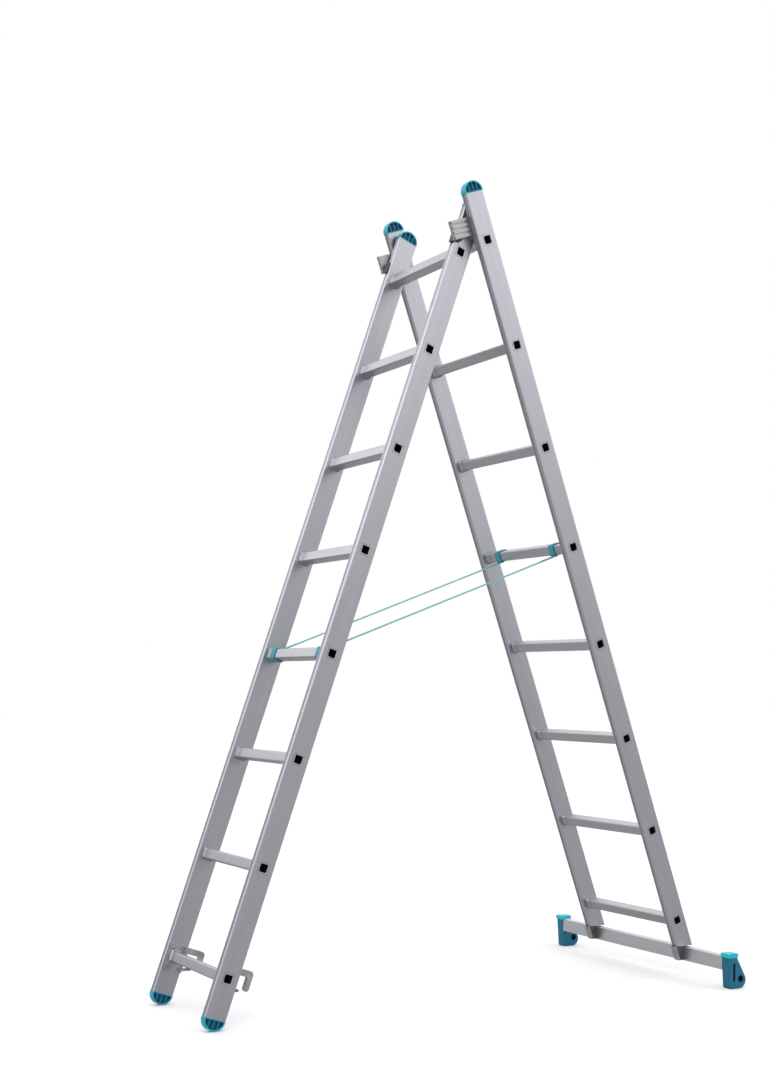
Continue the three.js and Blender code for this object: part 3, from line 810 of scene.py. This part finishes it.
def make_connector(node):
    """A dark casting whose dark tone is partly the metal and partly painted shade on its sides,
    with its front faces painted pale as the lit side of the same metal.
    """
    obj = copied(node, f"{node}_casting", [CONNECTOR_DARK_AND_SHADE, CONNECTOR_LIT_FRONT], WORLD)
    bevelled(obj, 0.8 * MM)
    out = BASE.to_3x3() @ Vector((1, 0, 0))
    front = min(p.center.dot(out) for p in obj.data.polygons)
    paint(obj, lambda c, n: 1 if c.dot(out) < front + CONNECTOR_LIT_DEPTH else 0)
    settle(obj, "base_section", "dark_metal", node)


make_bar()
for where, side in SIDES:
    make_foot(f"bar_foot_{where}", side)
    make_connector(f"bar_connector_{where}")


# ---------------------------------------------------------------- hooks and latches

for where, _ in SIDES:
    hook = copied(f"hook_{where}", f"hook_{where}_casting", [HOOK], FLY)
    bevelled(hook, 1.0 * MM, 3)
    settle(hook, "fly_section", "bracket_extrusion", f"hook_{where}")
    latch = copied(f"latch_{where}", f"latch_{where}_lever", [STEEL], FLY)
    bevelled(latch, 0.6 * MM, 2, 35)
    settle(latch, f"latch_{where}", "steel", f"latch_{where}")


# ---------------------------------------------------------------- spreader straps

LOOP_THICKNESS = 2.4 * MM
LOOP_RADIUS = 6 * MM
LOOP_INNER_RADIUS = 4.2 * MM
BAND_HALF_THICKNESS = 0.5 * MM
BAND_INSET = 0.6 * MM  # how much narrower than the CAD's band, on each side
BAND_OFF_CORNER = 7 * MM
BAND_CLEARANCE = 0.65 * MM
LAP_START = 11 * MM
LAP_LENGTH = 38 * MM
LAP_HALF_THICKNESS = 0.45 * MM
LAP_MIDDLE = 0.93 * MM
STITCH_PITCH = 2.6 * MM
STITCH_RADIUS = 0.32 * MM
STITCHED_FROM = 8 * MM
STITCHED_TO = 33 * MM


def strap_loop(node, body, place):
    """Webbing wrapped round a rung: a soft ring with rolled selvedges."""
    low, high = local_box(node, place)
    at = (low + high) / 2
    size = high.x - low.x
    half = (high.y - low.y) / 2
    # distance from the loop's middle, how far the cloth stands out of its seat
    rows = [(half, 0.55), (half - 0.4 * MM, 0.85), (half - 1.2 * MM, 1.0), (half - 3 * MM, 0.93),
            (half - 9 * MM, 1.0), (0, 0.96)]
    rows += [(-y, h) for y, h in reversed(rows[:-1])]

    def square(y, width, radius):
        outline = rounded_rect(0, 0, width, width, radius)
        return ring_at(bm, [(at.x + a, at.z + b) for a, b in outline], at.y + y)

    bm = bmesh.new()
    outer = []
    inner = []
    for y, lift in rows:
        seat = 0.96 if abs(y) < half - 0.5 * MM else 0.8
        outer.append(square(y, size - 2 * LOOP_THICKNESS * (1 - lift), LOOP_RADIUS))
        inner.append(square(y, size - 2 * LOOP_THICKNESS * seat, LOOP_INNER_RADIUS))
    loft(bm, outer, closed=False)
    loft(bm, inner, closed=False)
    bridge(bm, outer[0], inner[0])
    bridge(bm, outer[-1], inner[-1])
    obj = new_object(f"{node}_webbing", bm, [LOOP], place)
    smooth(obj, 50)
    settle(obj, body, "webbing", node)


def flat_section(shares, half, thick):
    """A ribbon's closed cross-section from (share of its width, share of its thickness)."""
    section = [(y * half, z * thick) for y, z in shares]
    return section + [(y * half, -z * thick) for y, z in reversed(shares)]


def band_frame(where):
    """Frame of a strap's band and its length: X along it, Y across it, origin at its lower end.

    It lies on top of the fly rung's loop and runs in under the base rung's loop.
    """
    low, high = local_box(f"strap_loop_fly_{where}", FLY)
    start = FLY @ Vector(((low.x + high.x) / 2 + BAND_OFF_CORNER, (low.y + high.y) / 2,
                          high.z + BAND_CLEARANCE))
    low, high = local_box(f"strap_loop_base_{where}", BASE)
    end = BASE @ Vector(((low.x + high.x) / 2 - BAND_OFF_CORNER, (low.y + high.y) / 2,
                         low.z - BAND_CLEARANCE))
    along = (end - start).normalized()
    side = Vector((0, 1, 0))
    matrix = Matrix((along, side, along.cross(side))).transposed().to_4x4()
    matrix.translation = start
    return matrix, (end - start).length


def strap_band(node, place, length, half):
    """A taut flat ribbon with thickened selvedges."""
    shares = [(1.0, 0.35), (0.985, 0.75), (0.95, 0.95), (0.90, 0.98), (0.85, 0.78), (0.5, 0.74),
              (0.0, 0.78), (-0.5, 0.74), (-0.85, 0.78), (-0.90, 0.98), (-0.95, 0.95),
              (-0.985, 0.75), (-1.0, 0.35)]
    section = flat_section(shares, half, BAND_HALF_THICKNESS)
    steps = 96
    bm = bmesh.new()
    rings = []
    for i in range(steps + 1):
        wave = 0.15 * BAND_HALF_THICKNESS * math.sin(9 * math.pi * i / steps)
        rings.append(ring(bm, [(length * i / steps, y, z + wave) for y, z in section]))
    loft(bm, rings)
    obj = new_object(f"{node}_webbing", bm, [BAND], place)
    smooth(obj, 60)
    return grounded(obj)


def sewn_lap(name, body, place, start, way, half):
    """The webbing's end folded back on the band."""
    shares = [(1.0, 0.3), (0.97, 0.8), (0.93, 1.0), (0.5, 0.92), (0.0, 1.0), (-0.5, 0.92),
              (-0.93, 1.0), (-0.97, 0.8), (-1.0, 0.3)]
    section = flat_section(shares, half, LAP_HALF_THICKNESS)
    # share of the lap's length, share of its thickness
    stations = ((-0.09, 0.9), (0.0, 1.0), (0.3, 1.0), (0.6, 1.0), (0.9, 1.0), (0.98, 0.8),
                (1.0, 0.3))
    bm = bmesh.new()
    loft(bm, [ring(bm, [(start + way * LAP_LENGTH * t, y * 0.97, LAP_MIDDLE + z * fat)
                        for y, z in section]) for t, fat in stations])
    obj = new_object(name, bm, [BAND], place)
    smooth(obj, 60)
    settle(obj, body, "webbing")


def stitches(name, body, place, start, way, half):
    """A boxed cross of short raised threads that sews a lap down."""
    top = LAP_MIDDLE + LAP_HALF_THICKNESS * 1.02
    wide = half * 0.78
    near_end = start + way * STITCHED_FROM
    far_end = start + way * STITCHED_TO
    corners = [(near_end, -wide), (far_end, -wide), (far_end, wide), (near_end, wide)]
    lines = list(zip(corners, corners[1:] + corners[:1]))
    lines += [(corners[0], corners[2]), (corners[1], corners[3])]
    up = Vector((0, 0, 1))
    turns = [2 * math.pi * i / 8 for i in range(8)]
    bm = bmesh.new()
    for (xa, ya), (xb, yb) in lines:
        count = max(4, round(math.hypot(xb - xa, yb - ya) / STITCH_PITCH))
        for k in range(count):
            first, second = (k + 0.12) / count, (k + 0.88) / count
            a = Vector((xa + (xb - xa) * first, ya + (yb - ya) * first, top))
            b = Vector((xa + (xb - xa) * second, ya + (yb - ya) * second, top))
            across = (b - a).normalized().cross(up).normalized()
            rings = []
            for t, share in ((0.0, 0.25), (0.12, 0.8), (0.5, 1.0), (0.88, 0.8), (1.0, 0.25)):
                c = a.lerp(b, t)
                r = STITCH_RADIUS * share
                rings.append(ring(bm, [c + across * (r * math.cos(turn)) + up * (r * math.sin(turn))
                                       for turn in turns]))
            loft(bm, rings)
    obj = new_object(name, bm, [THREAD], place)
    smooth(obj, 60)
    settle(obj, body, "webbing")


for where, _ in SIDES:
    strap_loop(f"strap_loop_base_{where}", "base_section", BASE)
    strap_loop(f"strap_loop_fly_{where}", "guide_shoes", FLY)
    place, length = band_frame(where)
    low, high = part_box(f"strap_band_{where}")
    half = (high.y - low.y) / 2 - BAND_INSET
    band = strap_band(f"strap_band_{where}", place, length, half)
    path = [place @ Vector((length * i / 24, 0, 0)) for i in range(25)]
    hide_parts(f"strap_band_{where}")
    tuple(path[0])
    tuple(path[-1])
    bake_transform(band)
    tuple(path[0])
    laps = ((f"strap_lap_fly_{where}", "guide_shoes", place, LAP_START, 1, half),
            (f"strap_lap_base_{where}", "base_section", place, length - LAP_START, -1, half))
    for name, *rest in laps:
        sewn_lap(name, *rest)
        stitches(f"{name}_stitches", *rest)


# ---------------------------------------------------------------- floor, light and camera

FLOOR_MIRRORED = (0.42, 0.42, 0.425)
# share of the way up from the horizon to overhead, brightness of the studio's soft walls
SKY = ((0.0, 0.50), (0.10, 0.58), (0.22, 1.02), (0.36, 1.55), (0.52, 1.25), (1.0, 1.10))
SKY_BLUE = 1.01
FLOOR_DROP = 0.5 * MM  # keeps the floor just under the feet

CAMERA_PLACE = (-2.18035, -3.42810, 0.84079)
CAMERA_YAW = -30.3458
CAMERA_TILT = 1.1983
CAMERA_ROLL = 0.4907
CAMERA_LENS = 48.681
CAMERA_SHIFT = 0.1566


def floor_material():
    """Matt floor, white in the picture and a softer grey in what the metal mirrors."""
    n = Nodes("studio_floor")
    flat = n.coordinates()
    drift = n.noise(flat, scale=1.4)
    tooth = n.noise(flat, scale=220.0, detail=2.0, roughness=0.6)
    n.set(Base_Color=n.mix(drift, (0.90, 0.90, 0.905), (0.93, 0.93, 0.93)),
          Roughness=n.ramp(tooth, 0.85, 0.95), Normal=n.bump(tooth, 0.4 * MM, strength=0.1),
          Specular_IOR_Level=0.1)
    grey = n.add("ShaderNodeBsdfDiffuse", Color=(*FLOOR_MIRRORED, 1))
    rays = n.add("ShaderNodeLightPath")
    blend = n.add("ShaderNodeMixShader")
    n.link(rays.outputs["Is Camera Ray"], blend.inputs["Fac"])
    n.link(grey.outputs["BSDF"], blend.inputs[1])
    n.link(n.shader.outputs["BSDF"], blend.inputs[2])
    n.link(blend.outputs["Shader"], n.tree.nodes["Material Output"].inputs["Surface"])
    return n.material


def make_floor():
    bm = bmesh.new()
    turns = [2 * math.pi * i / 96 for i in range(96)]
    rows = [ring(bm, [(radius * math.cos(t), radius * math.sin(t), 0) for t in turns])
            for radius in (0.01, 2.0, 5.0, 9.0, 16.0, 30.0)]
    loft(bm, rows, closed=False)
    bm.faces.new(rows[0])
    floor = grounded(new_object("studio_floor", bm, [floor_material()], WORLD))
    if floor.data.polygons[0].normal.z < 0:
        floor.data.flip_normals()
    floor.location.z = -FLOOR_DROP
    floor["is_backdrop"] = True


def make_world():
    """A white backdrop for the camera; soft walls that brighten upwards for the metal to mirror."""
    world = bpy.data.worlds.new("studio")
    bpy.context.scene.world = world
    world.use_nodes = True
    tree = world.node_tree
    walls = tree.nodes["Background"]
    backdrop = tree.nodes.new("ShaderNodeBackground")
    backdrop.inputs["Color"].default_value = (1, 1, 1, 1)
    direction = tree.nodes.new("ShaderNodeTexCoord")
    split = tree.nodes.new("ShaderNodeSeparateXYZ")
    ramp = tree.nodes.new("ShaderNodeValToRGB")
    ramp.color_ramp.interpolation = "EASE"
    elements = ramp.color_ramp.elements
    while len(elements) < len(SKY):
        elements.new(0.5)
    for element, (height, value) in zip(elements, SKY):
        element.position = height
        element.color = (value, value, value * SKY_BLUE, 1)
    rays = tree.nodes.new("ShaderNodeLightPath")
    choice = tree.nodes.new("ShaderNodeMixShader")
    tree.links.new(direction.outputs["Generated"], split.inputs["Vector"])
    tree.links.new(split.outputs["Z"], ramp.inputs["Fac"])
    tree.links.new(ramp.outputs["Color"], walls.inputs["Color"])
    tree.links.new(rays.outputs["Is Camera Ray"], choice.inputs["Fac"])
    tree.links.new(walls.outputs["Background"], choice.inputs[1])
    tree.links.new(backdrop.outputs["Background"], choice.inputs[2])
    tree.links.new(choice.outputs["Shader"], tree.nodes["World Output"].inputs["Surface"])


def area_light(name, place, target, size, power):
    data = bpy.data.lights.new(name, "AREA")
    data.shape = "DISK"
    data.size = size
    data.energy = power
    obj = bpy.data.objects.new(name, data)
    bpy.context.scene.collection.objects.link(obj)
    obj.location = place
    obj.rotation_mode = "QUATERNION"
    obj.rotation_quaternion = (Vector(target) - Vector(place)).to_track_quat("-Z", "Y")


def make_camera():
    """The photo's camera. The upward shift keeps its view nearly level."""
    yaw = math.radians(CAMERA_YAW)
    tilt = math.radians(CAMERA_TILT)
    roll = math.radians(CAMERA_ROLL)
    back = Vector((math.sin(yaw) * math.cos(tilt), -math.cos(yaw) * math.cos(tilt), math.sin(tilt)))
    right = (-back).cross(Vector((0, 0, 1))).normalized()
    up = right.cross(-back)
    turned_right = right * math.cos(roll) + up * math.sin(roll)
    turned_up = up * math.cos(roll) - right * math.sin(roll)
    data = bpy.data.cameras.new("camera")
    data.sensor_width = 36
    data.lens = CAMERA_LENS
    data.shift_y = CAMERA_SHIFT
    obj = bpy.data.objects.new("camera", data)
    bpy.context.scene.collection.objects.link(obj)
    matrix = Matrix((turned_right, turned_up, back)).transposed().to_4x4()
    matrix.translation = CAMERA_PLACE
    obj.matrix_world = matrix
    bpy.context.scene.camera = obj


make_floor()
make_world()
area_light("key_light", (-2.6, -3.4, 4.2), (0, 0, 1.0), size=2.6, power=40)
area_light("side_light", (4.2, -2.0, 3.6), (0, 0, 1.4), size=2.4, power=22)
make_camera()
bpy.context.scene.view_settings.view_transform = "Standard"

low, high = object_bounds()
